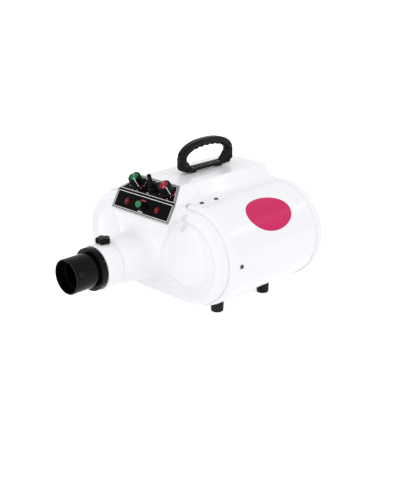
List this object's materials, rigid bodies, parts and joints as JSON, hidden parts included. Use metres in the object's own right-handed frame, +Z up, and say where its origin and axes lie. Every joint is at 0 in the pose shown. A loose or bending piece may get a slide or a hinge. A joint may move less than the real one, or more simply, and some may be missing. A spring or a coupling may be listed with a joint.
{
  "type": "pet dryer",
  "caption": "Twin-motor pet grooming dryer: obround white case on four feet, sloped control panel, carry handle and front air outlet with a clamped hose adapter.",
  "frame": {"origin": "on the floor under the middle of the whole dryer, midway between its sides and midway between the hose tube's end and the rear cover", "axes": "+Z up, -Y the way the air leaves the outlet, +X to the user's right when facing the control panel"},
  "size_m": [0.358, 0.441, 0.283],
  "materials": {
    "white_paint": "gloss",
    "white_shell": "gloss",
    "black_gloss": "gloss",
    "black_matte": "satin",
    "panel_black": "satin",
    "black_rubber": "matte",
    "steel": "satin",
    "dark_screw": "satin",
    "aluminium": "satin",
    "spun_green": "spun",
    "spun_red": "spun",
    "green_plastic": "gloss",
    "red_lens": "gloss",
    "copper": "satin",
    "mica": "matte",
    "board": "satin",
    "filter_foam": "matte"
  },
  "bodies": {
    "case": {"body_sleeve": "white_paint", "top_cover": "white_paint", "front_cover": "white_shell", "rear_cover": "white_shell", "outlet_neck": "white_shell", "intake_filter": "filter_foam", "filter_retainer": "black_matte", "control_panel": "panel_black", "handle_base": "black_matte", "handle_grip": "black_matte", "handle_screws": "dark_screw", "foot_front_left": "black_rubber", "foot_front_right": "black_rubber", "foot_rear_left": "black_rubber", "foot_rear_right": "black_rubber", "foot_screws": "steel", "cover_screws": "dark_screw", "motor_bulkhead": "steel", "motor_gasket_left": "black_rubber", "motor_gasket_right": "black_rubber", "fan_can_left": "aluminium", "fan_can_right": "aluminium", "motor_frame_left": "aluminium", "motor_frame_right": "aluminium", "stator_left": "copper", "stator_right": "copper", "motor_bearings_left": "steel", "motor_bearings_right": "steel", "heater_frame": "mica", "heater_coil": "steel", "thermal_cutout": "steel", "control_board": "board", "air_dimmer": "black_matte", "heat_dimmer": "black_matte", "power_switch": "black_matte", "button_switch": "black_gloss", "lamp_left": "red_lens", "lamp_right": "red_lens", "toggle_nut": "black_gloss", "cord_gland": "black_matte", "gland_nut": "black_matte"},
    "adapter": {"outlet_adapter": "black_gloss", "adapter_flange": "black_gloss"},
    "clamp": {"clamp_knob": "black_gloss"},
    "air_control": {"air_knob": "black_gloss", "air_knob_cap": "spun_green", "air_shaft": "steel"},
    "heat_control": {"heat_knob": "black_gloss", "heat_knob_cap": "spun_red", "heat_shaft": "steel"},
    "toggle": {"power_toggle": "black_gloss"},
    "button": {"push_button": "green_plastic"},
    "rotor_left": {"armature_left": "copper", "impeller_left": "aluminium"},
    "rotor_right": {"armature_right": "copper", "impeller_right": "aluminium"}
  },
  "joints": [
    {"name": "adapter_slide", "type": "slide", "parent": "case", "child": "adapter", "axis": [0, -1, 0], "range_m": [0, 0.04]},
    {"name": "clamp_turn", "type": "hinge", "parent": "case", "child": "clamp", "pos_m": [0, -0.1427, 0.147], "axis": [0, 0, 1], "range_deg": [0, 360]},
    {"name": "air_knob_turn", "type": "hinge", "parent": "case", "child": "air_control", "pos_m": [-0.0375, -0.03351, 0.22247], "axis": [0, -0.5592, 0.829], "range_deg": [-20, 250]},
    {"name": "heat_knob_turn", "type": "hinge", "parent": "case", "child": "heat_control", "pos_m": [0.0375, -0.03351, 0.22247], "axis": [0, -0.5592, 0.829], "range_deg": [-36, 234]},
    {"name": "toggle_throw", "type": "hinge", "parent": "case", "child": "toggle", "pos_m": [0, -0.03027, 0.21767], "axis": [1, 0, 0], "range_deg": [0, 30]},
    {"name": "button_press", "type": "slide", "parent": "case", "child": "button", "axis": [0, 0.866, -0.5], "range_m": [0, 0.0025], "stiffness_N_per_m": 600},
    {"name": "rotor_left_spin", "type": "hinge", "parent": "case", "child": "rotor_left", "pos_m": [-0.088, 0.05, 0.109], "axis": [0, 1, 0], "continuous": true},
    {"name": "rotor_right_spin", "type": "hinge", "parent": "case", "child": "rotor_right", "pos_m": [0.088, 0.05, 0.109], "axis": [0, 1, 0], "continuous": true}
  ]
}
